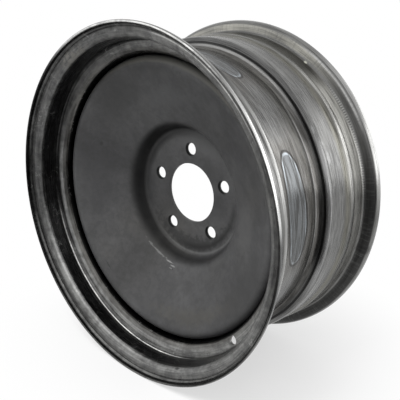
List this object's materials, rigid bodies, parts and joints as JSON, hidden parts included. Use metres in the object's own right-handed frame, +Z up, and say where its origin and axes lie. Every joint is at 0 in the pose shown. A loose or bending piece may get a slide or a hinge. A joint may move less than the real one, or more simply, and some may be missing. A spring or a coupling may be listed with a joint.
{
  "type": "steel wheel rim",
  "caption": "Bare steel road wheel: a rolled hoop with a drop centre and two tyre flanges, and a pressed disc with a recessed hub pad, centre bore and nut holes welded inside.",
  "frame": {"origin": "the middle of the wheel's width on its axle line", "axes": "+Y along the axle from the front to the back, so the dished front faces -Y; +Z up through the first nut hole; +X to the right seen from the front"},
  "size_m": [0.4715, 0.226, 0.4716],
  "materials": {
    "rolled_steel": "bare rolled steel with lines round the wheel from the forming rolls, oiled and slightly stained",
    "scaled_steel": "bare hot-rolled steel under dark grey mill scale, satin, with faint stains",
    "weld_metal": "rippled weld metal"
  },
  "bodies": {
    "root": {"rim_hoop": "rolled_steel", "wheel_disc": "scaled_steel", "weld_run_1": "weld_metal", "weld_run_2": "weld_metal", "weld_run_3": "weld_metal", "weld_run_4": "weld_metal", "weld_run_5": "weld_metal"}
  },
  "joints": []
}
